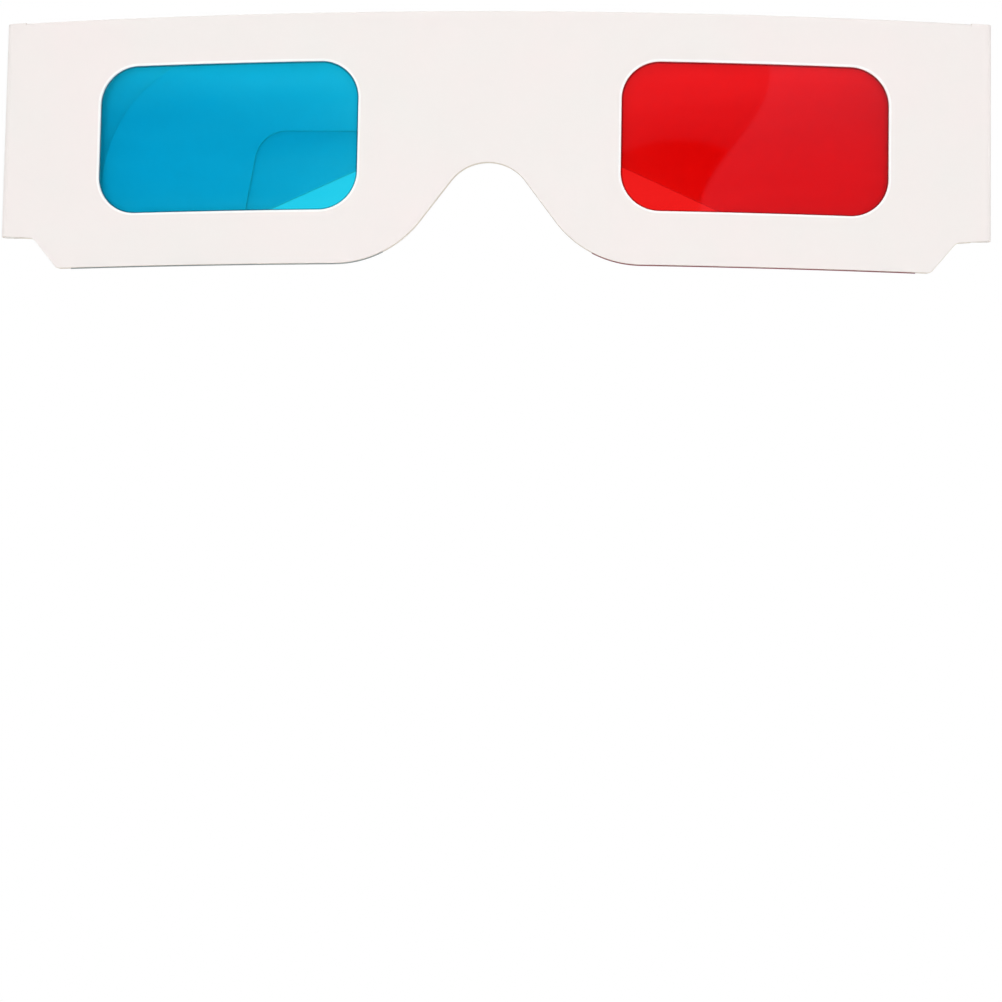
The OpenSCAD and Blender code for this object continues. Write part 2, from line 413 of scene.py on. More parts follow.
def card_material(name, light, dark, fineness, bump, rough, painted_light=None):
    """Card stock: a cloudy colour between two tones, a fine tooth, and painted light, a paler tone along
    the window edges, if asked for.
    """
    material = bpy.data.materials.new(name)
    material.use_nodes = True
    tree = material.node_tree
    shader = tree.nodes["Principled BSDF"]
    fibre = add(tree, "ShaderNodeGroup", node_tree=FIBRE)
    fibre.inputs["Fineness"].default_value = fineness
    tooth = fibre.outputs["Tooth"]
    raised = add(tree, "ShaderNodeBump")
    raised.inputs["Strength"].default_value = bump
    raised.inputs["Distance"].default_value = TOOTH_HEIGHT * MM
    links = tree.links.new
    links(tooth, raised.inputs["Height"])
    links(raised.outputs["Normal"], shader.inputs["Normal"])
    links(remap(tree, tooth, 0.0, 1.0, *rough, kind="LINEAR"), shader.inputs["Roughness"])
    colour = ramp(tree, fibre.outputs["Cloud"], TONE_SPREAD, dark, light)
    # Painted light: a paler tone mixed in where the sheet marks the window edges
    if painted_light:
        band = add(tree, "ShaderNodeAttribute", attribute_name="painted_edge_light")
        paler = add(tree, "ShaderNodeMix", data_type="RGBA")
        links(band.outputs["Fac"], paler.inputs["Factor"])
        links(colour, paler.inputs["A"])
        paler.inputs["B"].default_value = (*painted_light, 1)
        colour = paler.outputs["Result"]
    links(colour, shader.inputs["Base Color"])
    shader.inputs["Specular IOR Level"].default_value = CARD_SHEEN
    return material


# The last, paler tone of each card is painted light along the windows
coated_card = card_material("coated_white_card", light=(0.905, 0.833, 0.815), dark=(0.870, 0.843, 0.817),
                            fineness=TOOTH_SCALE, bump=0.12, rough=(0.42, 0.52),
                            painted_light=(0.985, 0.975, 0.965))
bare_card = card_material("bare_card_back", light=(0.90, 0.885, 0.865), dark=(0.87, 0.85, 0.82),
                          fineness=900, bump=0.35, rough=(0.72, 0.85))
# Painted shade: the tan of the cut edge is partly the core's tone and partly shade painted into it
cut_core_and_shade_card = card_material("cut_card_core_and_painted_shade", light=(0.80, 0.73, 0.655), dark=(0.68, 0.60, 0.52),
                         fineness=2600, bump=0.6, rough=(0.8, 0.92), painted_light=(0.95, 0.93, 0.91))
CARD = (coated_card, bare_card, cut_core_and_shade_card)
print("card materials", [m.name for m in CARD])

# %% [markdown]
# ## Fold and bow
# The front of the real glasses is cut flat, folded over along its top, and springs into a
# shallow bow when the arms pull on it. Modelling the bent shape directly would mean working out
# every curve twice. A Geometry Nodes tree follows the maker's rule instead. Points above the
# fold line wrap round the fold, points beyond it come down again as the rear leaf, and the bow
# then wraps the whole laminate round one upright axis. Its named inputs are the sizes of that
# rule, so the same tree also bends the films that lie between the leaves.

# %% Rule of the fold and the bow
SIZE_LABELS = ("Bow radius", "Fold height", "Fold radius", "Fold run", "Fold half length")
FINISH_LABELS = ("Coated face", "Bare face", "Cut edge")


def calculator(tree):
    """A function that adds Math nodes to a tree and gives their results."""
    def calc(operation, *values):
        node = add(tree, "ShaderNodeMath", operation=operation)
        for socket, value in zip(node.inputs, values):
            if isinstance(value, (int, float)):
                socket.default_value = value
            else:
                tree.links.new(value, socket)
        return node.outputs[0]
    return calc


def fold_and_bow_points(tree, source, calc):
    """Where each point of the flat blank lies once it is folded and bowed."""
    split = add(tree, "ShaderNodeSeparateXYZ")
    tree.links.new(add(tree, "GeometryNodeInputPosition").outputs[0], split.inputs[0])
    x, depth, z = split.outputs
    bow, fold_z, fold_r, run, half = (source.outputs[label] for label in SIZE_LABELS)
    over = calc("SUBTRACT", z, fold_z)
    on_flap = calc("LESS_THAN", calc("ABSOLUTE", x), half)
    past = calc("MULTIPLY", calc("MAXIMUM", over, 0.0), on_flap)
    bent = calc("MINIMUM", past, run)
    angle = calc("MULTIPLY", calc("DIVIDE", bent, run), pi)
    radius = calc("SUBTRACT", fold_r, depth)
    layer = calc("SUBTRACT", fold_r, calc("MULTIPLY", radius, calc("COSINE", angle)))
    rise = calc("SUBTRACT", calc("MULTIPLY", radius, calc("SINE", angle)), calc("SUBTRACT", past, bent))
    level = calc("ADD", calc("ADD", fold_z, calc("SUBTRACT", over, past)), rise)
    reach = calc("SUBTRACT", bow, layer)
    across = calc("DIVIDE", calc("MULTIPLY", x, reach), bow)
    square = calc("SUBTRACT", calc("MULTIPLY", reach, reach), calc("MULTIPLY", across, across))
    back = calc("SUBTRACT", bow, calc("SQRT", square))
    place = add(tree, "ShaderNodeCombineXYZ")
    for socket, value in zip(place.inputs, (across, back, level)):
        tree.links.new(value, socket)
    return place.outputs[0]


# %% Fold and bow tree
def fold_and_bow_tree():
    """The tree: move the points, realize, and give each face of the card its material."""
    tree = bpy.data.node_groups.new("fold_and_bow", "GeometryNodeTree")
    tree.interface.new_socket(name="Geometry", in_out="INPUT", socket_type="NodeSocketGeometry")
    for label in SIZE_LABELS:
        tree.interface.new_socket(name=label, in_out="INPUT", socket_type="NodeSocketFloat")
    for label in FINISH_LABELS:
        tree.interface.new_socket(name=label, in_out="INPUT", socket_type="NodeSocketMaterial")
    tree.interface.new_socket(name="Geometry", in_out="OUTPUT", socket_type="NodeSocketGeometry")
    source, result = add(tree, "NodeGroupInput"), add(tree, "NodeGroupOutput")
    links = tree.links.new
    move = add(tree, "GeometryNodeSetPosition")
    links(source.outputs[0], move.inputs["Geometry"])
    links(fold_and_bow_points(tree, source, calculator(tree)), move.inputs["Position"])
    whole = add(tree, "GeometryNodeRealizeInstances")
    links(move.outputs[0], whole.inputs[0])
    flow = whole.outputs[0]
    side = add(tree, "GeometryNodeInputNamedAttribute", data_type="INT")
    side.inputs["Name"].default_value = "side"
    # Compare keeps its whole-number sockets at places 2 and 3
    for kind in (COATED, BARE, CUT):
        chosen = add(tree, "FunctionNodeCompare", data_type="INT", operation="EQUAL")
        links(side.outputs[0], chosen.inputs[2])
        chosen.inputs[3].default_value = kind
        paint = add(tree, "GeometryNodeSetMaterial")
        links(flow, paint.inputs["Geometry"])
        links(chosen.outputs[0], paint.inputs["Selection"])
        links(source.outputs[FINISH_LABELS[kind]], paint.inputs["Material"])
        flow = paint.outputs[0]
    links(flow, result.inputs[0])
    return tree


FOLD_AND_BOW = fold_and_bow_tree()
print("tree", FOLD_AND_BOW.name, "of", len(FOLD_AND_BOW.nodes), "nodes")

# %% Bend a flat piece
FOLD_OUT = TOP_Z - FOLD_Z
FOLD_RUN = pi * (FOLD_OUT - CARD_T / 2)
SLIT = 0.02


def bend(piece, materials):
    """Runs the tree on a flat piece and keeps the result as a plain mesh."""
    modifier = piece.modifiers.new("fold_and_bow", "NODES")
    modifier.node_group = FOLD_AND_BOW
    sizes = (BOW_R, FOLD_Z, FOLD_OUT, FOLD_RUN, FLAP_X + SLIT / 2)
    values = [size * MM for size in sizes] + list(materials)
    entries = [i for i in FOLD_AND_BOW.interface.items_tree if i.in_out == "INPUT"][1:]
    for entry, value in zip(entries, values):
        modifier[entry.identifier] = value
    bpy.context.view_layer.update()
    shaped = piece.evaluated_get(bpy.context.evaluated_depsgraph_get())
    mesh = bpy.data.meshes.new_from_object(shaped)
    piece.modifiers.clear()
    piece.data = mesh
    mesh.name = piece.name
    return piece


print("fold radius", round(FOLD_OUT, 2), "card used up by the fold", round(FOLD_RUN, 2))

# %% [markdown]
# ## Lower edge
# The lower edge runs from one end tab to the other: a short slant, a straight run, and the nose
# arch in the middle. The arch could be a spline drawn by eye. It is two straight sides at one
# slope, rounded where they meet at the top and where they run out into the edge, so three
# radii and a slope give it exactly.

# %% Lower edge
TAB_L, TAB_FALL, TAB_R = 5.2, 0.5, 1.2
SLANT_RUN = 3.9
NOSE_R, MOUTH_R = 6.9, 16.0
NOSE_SLOPE = radians(53)
ARCH_Z = NOSE_R * (1 / cos(NOSE_SLOPE) - 1)
MOUTH_X = (ARCH_Z - LOW_Z) / tan(NOSE_SLOPE)
MOUTH_END = MOUTH_X + MOUTH_R * tan(NOSE_SLOPE / 2)


def tab_z(x):
    """Height of the lower edge of the end tabs, which falls a little towards the windows."""
    return CREASE_Z - TAB_FALL * (HALF_W - x) / TAB_L


tab_x = HALF_W - TAB_L
LOW_RIGHT = [(-tab_x, tab_z(tab_x), TAB_R), (SLANT_RUN - tab_x, LOW_Z, TAB_R)]
ARCH = [(-MOUTH_X, LOW_Z, MOUTH_R), (0, ARCH_Z, NOSE_R), (MOUTH_X, LOW_Z, MOUTH_R)]
LOW_EDGE = LOW_RIGHT + ARCH + [(-x, z, r) for x, z, r in LOW_RIGHT[::-1]]
print("arch sides meet the lower edge at", round(MOUTH_X, 2), "and run out at", round(MOUTH_END, 2))

# %% [markdown]
# ## Folded front
# The front leaf, the fold and the rear leaf are one piece of card, so they are one piece here
# and stand for three nodes of the frame. The rear leaf is the front leaf turned over the fold
# line, without the end tabs, and a narrow slit parts it from them. Three separate sheets would
# show seams at the fold. One blank, cut flat and then bent by the tree, has none.

# %% Blank of the front
# Points closer than this to a line, in millimetres, lie on it
TOUCH = 0.001
FOLD_STEPS = 14
fold_levels = [FOLD_Z + FOLD_RUN * i / FOLD_STEPS for i in range(FOLD_STEPS + 1)]


def over_fold(z):
    """Height on the flat blank of a point of the rear leaf."""
    return FOLD_Z + FOLD_RUN + FOLD_Z - z


def blank_lines():
    """Outline of the flat blank, from the right end along the lower edge, and its four holes."""
    left, right = HINGES["left"].end_x, HINGES["right"].end_x
    slit, flap_low = FLAP_X + SLIT, over_fold(tab_z(FLAP_X))
    rear = [(x, over_fold(z), r) for x, z, r in LOW_EDGE[::-1]]
    outer = [(-right, tab_z(right), 0), *LOW_EDGE, (left, tab_z(left), 0)]
    outer += [(left, TOP_Z, 0), (slit, TOP_Z, 0), (slit, FOLD_Z, 0)]
    outer += [(FLAP_X, z, 0) for z in fold_levels] + [(FLAP_X, flap_low, 0), *rear, (-FLAP_X, flap_low, 0)]
    outer += [(-FLAP_X, z, 0) for z in fold_levels[::-1]]
    outer += [(-slit, FOLD_Z, 0), (-slit, TOP_Z, 0), (-right, TOP_Z, 0)]
    holes = [window_line(side, flip) for flip in (lambda z: z, over_fold) for side in (1, -1)]
    return [die_line(outer), *holes]


def no_lip(line):
    """True for points where the front goes on into a crease, and along the two slits, which are sharp."""
    x, z = np.abs(line[:, 0]), line[:, 1]
    ends = np.where(line[:, 0] > 0, HINGES["left"].end_x, HINGES["right"].end_x)
    at_slit = (x > FLAP_X - TOUCH) & (x < FLAP_X + SLIT + TOUCH)
    return (x > ends - TOUCH) | (at_slit & (z > FOLD_Z - TOUCH) & (z < FOLD_Z + FOLD_RUN / 2))


# %% Folded front
ROW, FOLD_CLEAR = 2.2, 0.5
row_levels = [*np.arange(LOW_Z + ROW / 2, FOLD_Z - FOLD_CLEAR, ROW), *fold_levels,
              *np.arange(fold_levels[-1] + ROW / 2, over_fold(LOW_Z), ROW)]
blank = sheet(blank_lines(), CARD_T, [(z, ROW) for z in row_levels], joined=no_lip)
folded_front = bend(make_piece("folded_front", *blank, CARD), CARD)
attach(folded_front, "front")
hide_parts("front_card", "top_fold", "rear_card")
print("folded front", len(folded_front.data.polygons), "faces")

# %% [markdown]
# ## Creases
# At each end the card is scored and bent round, so that the arm lies behind the front. Cutting
# the card in two there would leave a gap when the arm opens.

# %% Crease mesh
CREASE_LEG, CREASE_LIP = 0.6, 0.06
BEND_STEPS, CREASE_ROWS = 22, 18
LEG_SHARES = (0.33, 0.67, 1)


def crease_sections(hinge):
    """Outer and inner line of the bend, seen from above, from the front's end to the arm."""
    turns = [hinge.slope - pi / 2 + (pi - hinge.slope) * i / BEND_STEPS for i in range(BEND_STEPS + 1)]
    return [[(r * cos(a), r * sin(a)) for a in turns] + [(-CREASE_LEG * s, r) for s in LEG_SHARES]
            for r in (hinge.radius + CARD_T / 2, hinge.radius - CARD_T / 2)]


def crease_mesh(hinge):
    """Bent strip of card with both lips of its top and bottom edge drawn in."""
    outer, inner = crease_sections(hinge)
    levels = [(CREASE_Z, CREASE_LIP), (CREASE_Z + CREASE_LIP, 0)]
    levels += [(z, 0) for z in np.linspace(CREASE_Z + CARD_T, TOP_Z - CARD_T, CREASE_ROWS)]
    levels += [(TOP_Z - CREASE_LIP, 0), (TOP_Z, CREASE_LIP)]
    count = len(outer)
    verts, polygons, sides = [], [], []
    for z, pinch in levels:
        for line, other in ((outer, inner), (inner, outer)):
            for (ax, ay), (bx, by) in zip(line, other):
                px, py = ax + (bx - ax) * pinch / CARD_T, ay + (by - ay) * pinch / CARD_T
                verts.append((hinge.side * (hinge.x + px), hinge.y + py, z))
    for k in range(len(levels) - 1):
        a, b = k * 2 * count, (k + 1) * 2 * count
        for i in range(count - 1):
            polygons.append((a + i, a + i + 1, b + i + 1, b + i))
            polygons.append((a + count + i + 1, a + count + i, b + count + i, b + count + i + 1))
            sides += [COATED, BARE]
        polygons.append((a + count, a, b, b + count))
        polygons.append((a + count - 1, a + 2 * count - 1, b + 2 * count - 1, b + count - 1))
        sides += [CUT, CUT]
    top = (len(levels) - 1) * 2 * count
    for i in range(count - 1):
        polygons.append((i + 1, i, count + i, count + i + 1))
        polygons.append((top + i, top + i + 1, top + count + i + 1, top + count + i))
        sides += [CUT, CUT]
    if hinge.side < 0:
        polygons = [p[::-1] for p in polygons]
    return np.array(verts), polygons, sides, np.zeros(len(verts))


# %% Creases
def crease_piece(name):
    """Crease that follows the front at one end and an arm at the other."""
    hinge = HINGES[name]
    piece = make_piece(name + "_crease_bend", *crease_mesh(hinge), CARD)
    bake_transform(piece)
    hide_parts(name + "_crease")
    return piece


creases = [crease_piece(name) for name in HINGES]
print("creases", [len(c.data.polygons) for c in creases])

# %% [markdown]
# ## Arms
# An arm is a flat strip that drops to a neck, leaves room for the ear and ends in a broad hook.
# Folded in, its bare face looks forward through the windows and its coated face looks back.
# The left arm lies inside the right one, so each takes its distance from its own node. The
# same sheet helper cuts it, because it is the same board as the front.

# %% Arm outline
ARM_L = HALF_W - corners_of("left_arm")[0][0]
ARM_FALL, ARM_RUN, ARM_R = 3.8, 31.0, 10.0
ARM_SLOPE = radians(24.8)
NECK_DROP, TIP_DROP = 16.4, 35.4
NECK_Z, TIP_Z = TOP_Z - NECK_DROP, TOP_Z - TIP_DROP
HOOK_W, HOOK_R, TIP_R = 24.3, 22.3, 8.0
EAR_R, EAR_LEAN = 4.8, radians(9.3)


def arm_line(side, start):
    """Arm from its crease to its hook, anticlockwise."""
    neck_x = ARM_RUN + (NECK_Z - CREASE_Z) / tan(ARM_SLOPE)
    ear_x = ARM_L - HOOK_W
    tip_x = ear_x + (NECK_Z - TIP_Z) * tan(EAR_LEAN)
    corners = [(start, CREASE_Z, 0), (ARM_RUN, CREASE_Z, ARM_R), (neck_x, NECK_Z, ARM_R),
               (ear_x, NECK_Z, EAR_R), (tip_x, TIP_Z, TIP_R), (ARM_L, TIP_Z, TIP_R),
               (ARM_L, TOP_Z - ARM_FALL, HOOK_R), (start, TOP_Z - ARM_FALL * start / ARM_L, 0)]
    corners = [(side * (HALF_W - x), z, r) for x, z, r in corners]
    return die_line(corners[::-1] if side > 0 else corners)


print("arm", round(ARM_L, 2), "long, with its neck at", round(NECK_Z, 2), "and its tip at", round(TIP_Z, 2))

# %% Arms
ARM_ROW, FIRST_ROW = 2.4, 1.0


def arm_piece(name):
    """Arm at the distance of its own node, joined to its crease."""
    low, high = corners_of(name + "_arm")
    side = HINGES[name].side
    crease_x = max(abs(low[0]), abs(high[0]))
    rows = [(z, ARM_ROW) for z in np.arange(TIP_Z + FIRST_ROW, TOP_Z, ARM_ROW)]
    flat = sheet([arm_line(side, HALF_W - crease_x)], CARD_T, rows, faces=(BARE, COATED),
                 joined=lambda line: np.abs(line[:, 0]) > crease_x - TOUCH)
    flat[0][:, 1] += low[1]
    piece = make_piece(name + "_arm_card", *flat, CARD)
    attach(piece, name + "_arm")
    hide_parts(name + "_arm")
    return piece


arms = [arm_piece(name) for name in HINGES]
print("arms", [len(a.data.polygons) for a in arms])

# %% [markdown]
# ## Streaks and painted shade on the films
# Plastic film is drawn from a melt, which leaves faint streaks along it. A thin rim of painted
# shade darkens the film where it passes behind the cut edge of a window. Both films share the
# streaks and the rim, so one node group makes them. The streaks are noise stretched sideways. The
# rim is the distance from the rounded rectangle of the window, which needs no image mask.

# %% Film streaks and painted rim shade
STREAK_SCALE, STREAK_DETAIL, STREAK_STRETCH = 260, 4, 0.12
# Distances in from the edge of the window: where the rim's painted shade starts, and where it is full
RIM_START, RIM_FULL = 0.32, 0.14


def film_streaks_and_rim_shade_group():
    """Streaks along the film, and a rim of painted shade where it passes behind the cut edge of its window.
    """
    group = bpy.data.node_groups.new("film_streaks_and_painted_rim_shade", "ShaderNodeTree")
    group.interface.new_socket(name="Window middle", in_out="INPUT", socket_type="NodeSocketVector")
    for label in ("Streaks", "Painted rim shade"):
        group.interface.new_socket(name=label, in_out="OUTPUT", socket_type="NodeSocketFloat")
    source, result = add(group, "NodeGroupInput"), add(group, "NodeGroupOutput")
    place = add(group, "ShaderNodeTexCoord")
    stretch = add(group, "ShaderNodeMapping")
    stretch.inputs["Scale"].default_value = (STREAK_STRETCH, 1, 1)
    noise = add(group, "ShaderNodeTexNoise")
    noise.inputs["Scale"].default_value = STREAK_SCALE
    noise.inputs["Detail"].default_value = STREAK_DETAIL
    steps = [add(group, "ShaderNodeVectorMath", operation=name)
             for name in ("SUBTRACT", "ABSOLUTE", "SUBTRACT", "MAXIMUM", "LENGTH")]
    corner = ((WINDOW_W / 2 - WINDOW_R) * MM, 1.0, (WINDOW_H / 2 - WINDOW_R) * MM)
    steps[2].inputs[1].default_value = corner
    links = group.links.new
    links(place.outputs["Object"], stretch.inputs["Vector"])
    links(stretch.outputs["Vector"], noise.inputs["Vector"])
    links(noise.outputs["Fac"], result.inputs["Streaks"])
    links(place.outputs["Object"], steps[0].inputs[0])
    links(source.outputs["Window middle"], steps[0].inputs[1])
    for before, after in zip(steps, steps[1:]):
        links(before.outputs["Vector"], after.inputs[0])
    start, full = (WINDOW_R - RIM_START) * MM, (WINDOW_R - RIM_FULL) * MM
    links(remap(group, steps[-1].outputs["Value"], start, full), result.inputs["Painted rim shade"])
    return group


FILM_STREAKS_AND_RIM_SHADE = film_streaks_and_rim_shade_group()
print("node group", FILM_STREAKS_AND_RIM_SHADE.name)

# %% [markdown]
# ## Dyed film
# A dyed film doesn't bend light, it only takes colour out of it. Glass would bend the view
# behind it and slow the render. So the material lets light straight through, with half of the
# tint at each of the film's two faces, and mixes in a gloss that grows at a slant, as on any
# clear plastic. The narrow cut edge of the film is dark: painted shade for the thin line it
# shows along the lower edge.

# %% Film material
STREAK_SPREAD = (0.25, 0.75)
# The tint is multiplied by this in the rim: painted shade
RIM_SHADE = (0.68, 0.68, 0.68, 1)
MIRROR_TONE = (0.9, 0.9, 0.9, 1)
FILM_ROUGH = (0.01, 0.03)
# Share of gloss seen straight on and at a slant, and how late it grows
GLOSS_SHARE, GLOSS_POWER = (0.06, 0.9), 5


def mixed(tree, share, first, second):
    """Two shaders, mixed by the share of the second."""
    node = add(tree, "ShaderNodeMixShader")
    for socket, output in zip(node.inputs, (share, first, second)):
        tree.links.new(output, socket)
    return node.outputs[0]


def film_material(name, side, deep, pale):
    """Dyed film: tinted light straight through, darkened by painted shade in a rim along its window, with a
    gloss that grows at a slant.
    """
    material = bpy.data.materials.new(name)
    material.use_nodes = True
    tree = material.node_tree
    gloss = tree.nodes["Principled BSDF"]
    gloss.inputs["Base Color"].default_value = MIRROR_TONE
    gloss.inputs["Metallic"].default_value = 1.0
    streaks_and_shade = add(tree, "ShaderNodeGroup", node_tree=FILM_STREAKS_AND_RIM_SHADE)
    middle = (side * WINDOW_X * MM, 0, (WINDOW_HIGH + WINDOW_LOW) / 2 * MM)
    streaks_and_shade.inputs["Window middle"].default_value = middle
    streaks = streaks_and_shade.outputs["Streaks"]
    shaded = add(tree, "ShaderNodeMix", data_type="RGBA", blend_type="MULTIPLY")
    shaded.inputs["B"].default_value = RIM_SHADE
    clear = add(tree, "ShaderNodeBsdfTransparent")
    slant = add(tree, "ShaderNodeLayerWeight")
    slant.inputs["Blend"].default_value = 0.5
    steep = calculator(tree)("POWER", slant.outputs["Facing"], GLOSS_POWER)
    share = remap(tree, steep, 0.0, 1.0, *GLOSS_SHARE, kind="LINEAR")
    links = tree.links.new
    links(remap(tree, streaks, 0.0, 1.0, *FILM_ROUGH, kind="LINEAR"), gloss.inputs["Roughness"])
    # Painted shade: the tint is darkened in a thin rim along the window
    links(streaks_and_shade.outputs["Painted rim shade"], shaded.inputs["Factor"])
    links(ramp(tree, streaks, STREAK_SPREAD, deep, pale), shaded.inputs["A"])
    links(shaded.outputs["Result"], clear.inputs["Color"])
    surface = mixed(tree, share, clear.outputs[0], gloss.outputs[0])
    links(surface, tree.nodes["Material Output"].inputs["Surface"])
    return material


# %% Red and cyan
red_dye = film_material("red_dyed_film", 1, deep=(0.985, 0.105, 0.105), pale=(0.995, 0.135, 0.13))
cyan_dye = film_material("cyan_dyed_film", -1, deep=(0.11, 0.817, 0.962), pale=(0.15, 0.837, 0.972))
# Dark tones of the films' cut edges: painted shade for the thin line along the lower edge
red_cut_shade = card_material("red_film_cut_painted_shade", light=(0.31, 0.11, 0.13), dark=(0.20, 0.07, 0.09),
                        fineness=1800, bump=0.3, rough=(0.3, 0.5))
cyan_cut_shade = card_material("cyan_film_cut_painted_shade", light=(0.34, 0.37, 0.37), dark=(0.25, 0.28, 0.28),
                         fineness=1800, bump=0.3, rough=(0.3, 0.5))
print("film materials", [m.name for m in (red_dye, cyan_dye, red_cut_shade, cyan_cut_shade)])

# %% [markdown]
# ## Films
# Each film covers its window from behind and is cut together with the card along the lower
# edge, where it stands proud by a hair and shows as a thin coloured line. A flat plane behind
# the window would miss that line and cut through the bowed card. So the film is a thin sheet
# with the card's own lower edge, and the tree bows it like the leaves on both sides of it.

# %% Films
FILM_T, LAY_GAP = 0.1, 0.01
FILM_PROUD = 0.14
FILM_ROW, FILM_STEP = 2.4, 0.6


def film_low(x):
    """Lower edge of a film, which follows the run-out of the nose arch."""
    run = min(x - MOUTH_END, 0)
    return LOW_Z + MOUTH_R - sqrt(MOUTH_R ** 2 - run ** 2) - FILM_PROUD


def film_piece(name, side, dye, cut):
    """Film over one window, cut along the lower edge of the card."""
    low, high = corners_of(name)
    near, far = sorted((abs(low[0]), abs(high[0])))
    along = [*np.arange(near, MOUTH_END, FILM_STEP), MOUTH_END, far]
    corners = [(x, film_low(x), 0) for x in along] + [(far, high[2], 0), (near, high[2], 0)]
    corners = [(side * x, z, r) for x, z, r in corners]
    line = die_line(corners if side > 0 else corners[::-1])
    rows = [(z, FILM_ROW) for z in np.arange(LOW_Z + FIRST_ROW, high[2], FILM_ROW)]
    flat = sheet([line], FILM_T, rows, edge=FILM_EDGE)
    flat[0][:, 1] += CARD_T + LAY_GAP
    piece = bend(make_piece(name + "_sheet", *flat, (dye, dye, cut)), (dye, dye, cut))
    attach(piece, "front")
    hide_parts(name)
    return piece


films = [film_piece("red_film", 1, red_dye, red_cut_shade), film_piece("cyan_film", -1, cyan_dye, cyan_cut_shade)]
print("films", [len(f.data.polygons) for f in films])

# %% [markdown]
# ## Glue
# A thin layer of glue fills the laminate round the films and shows only as a hair between the
# leaves. Its shape in the frame is already right, so the node stays and only gets a finish: a
# yellowish, slightly uneven matte, made by the card function with its own tones.

# %% Glue
glue_line = card_material("dried_glue_line", light=(0.78, 0.74, 0.62), dark=(0.66, 0.61, 0.48),
                          fineness=700, bump=0.3, rough=(0.45, 0.65))
glue = frame["nodes"]["glue_layer"]
for place in glue.material_slots:
    place.material = glue_line
print("glue restyled on", glue.name, len(glue.material_slots), "slot")

# %% [markdown]
# ## Floor
# The glasses are shown upright in front of plain white, so the floor has to vanish into it. A
# floor lit until it is white would also light the card from below. This one is a plain pale
# floor near the object, where it takes the shadow, and fades with distance into white. Only
# seen rays meet that white, and mirrored rays that land behind the object, so it adds no
# light, and the films mirror a plain floor on the camera's side.

# %% Floor
FLOOR_Z, FLOOR_SIZE = -0.45, 8.0
FLOOR_TONE, FLOOR_ROUGH = (0.86, 0.86, 0.86, 1), 0.9
# Distances from the middle between which the floor turns white
WHITE_FADE = (0.5, 1.0)
# Places, from front to back, between which mirrored rays come to meet that white
BEHIND = (-0.3, 0.3)


def seen_rays(tree, calc):
    """Two masks: rays seen straight or through glass, and mirrored rays. Both are 0 for rays that light."""
    ray = add(tree, "ShaderNodeLightPath")
    seen = calc("MAXIMUM", ray.outputs["Is Camera Ray"], ray.outputs["Is Transmission Ray"])
    return seen, ray.outputs["Is Glossy Ray"]


def floor_material():
    """Pale floor that takes the shadow, and white far from the object."""
    material = bpy.data.materials.new("pale_floor")
    material.use_nodes = True
    tree = material.node_tree
    calc = calculator(tree)
    shader = tree.nodes["Principled BSDF"]
    shader.inputs["Base Color"].default_value = FLOOR_TONE
    shader.inputs["Roughness"].default_value = FLOOR_ROUGH
    shader.inputs["Specular IOR Level"].default_value = 0.0
    white = add(tree, "ShaderNodeEmission")
    place = add(tree, "ShaderNodeTexCoord").outputs["Object"]
    length = add(tree, "ShaderNodeVectorMath", operation="LENGTH")
    way = add(tree, "ShaderNodeSeparateXYZ")
    links = tree.links.new
    links(place, length.inputs[0])
    links(place, way.inputs[0])
    fade = remap(tree, length.outputs["Value"], *WHITE_FADE)
    behind = remap(tree, way.outputs["Y"], *BEHIND)
    seen, mirrored = seen_rays(tree, calc)
    white_for = calc("MAXIMUM", seen, calc("MULTIPLY", mirrored, behind))
    surface = mixed(tree, calc("MULTIPLY", fade, white_for), shader.outputs[0], white.outputs[0])
    links(surface, tree.nodes["Material Output"].inputs["Surface"])
    return material


def stage_floor():
    """One large square below the object."""
    mesh = bpy.data.meshes.new("stage_floor")
    spots = [(x * FLOOR_SIZE, y * FLOOR_SIZE, FLOOR_Z) for x, y in ((-1, -1), (1, -1), (1, 1), (-1, 1))]
    mesh.from_pydata(spots, [], [(0, 1, 2, 3)])
    mesh.materials.append(floor_material())
    floor = bpy.data.objects.new("stage_floor", mesh)
    bpy.context.scene.collection.objects.link(floor)


stage_floor()
print("floor at", FLOOR_Z, "m")

# %% [markdown]
# ## Surroundings
# Behind the object stands a white backdrop, and on the camera's side a dim room. The card only
# takes an even soft light from both, but the glossy films mirror what stands in front of them:
# a light panel with a curved edge, and beside it a pale wall that ends above something dark and
# round. They draw the veil across the red film. A room of real objects could be built for that.
# The world's own ray direction is enough, and Light Path keeps what is seen, what is mirrored
# and what gives light apart.

# %% Surroundings
AMBIENT = 0.42
ROOM_TONE = (0.85, 0.68, 1, 1)
# Start and end along one direction of a ray, then the values there, where they aren't 0 and 1
PANEL_EDGE = (0.196, 0.236, 0.176, 0.250)
PANEL_BLUR = (-0.003, 0.003)
PANEL_GLOW = (0.2, 0.242, 0.22, 0.40)
WALL_FOOT = (0.2163, 0.2188)
WALL_GLOW = (0.209, 0.24, 0.08, 0.20)
WALL_SIDE = (-0.3, 0.1, 0.05, 1.0)
BACKDROP = (-0.3, 0.3)
# Where the top of the round form is, sideways
ROUND_TOP_X = 0.150


def room_glow(tree, calc, x, z):
    """Brightness of the room in front of the films, by the direction of a ray."""
    off_edge = calc("SUBTRACT", x, remap(tree, z, *PANEL_EDGE))
    panel = calc("MULTIPLY", remap(tree, off_edge, *PANEL_BLUR), remap(tree, z, *PANEL_GLOW))
    off_top = calc("SUBTRACT", x, ROUND_TOP_X)
    foot = calc("ADD", z, calc("MULTIPLY", off_top, off_top))
    wall = calc("MULTIPLY", remap(tree, foot, *WALL_FOOT), remap(tree, z, *WALL_GLOW))
    wall = calc("MULTIPLY", wall, remap(tree, x, *WALL_SIDE))
    return calc("MAXIMUM", panel, wall)


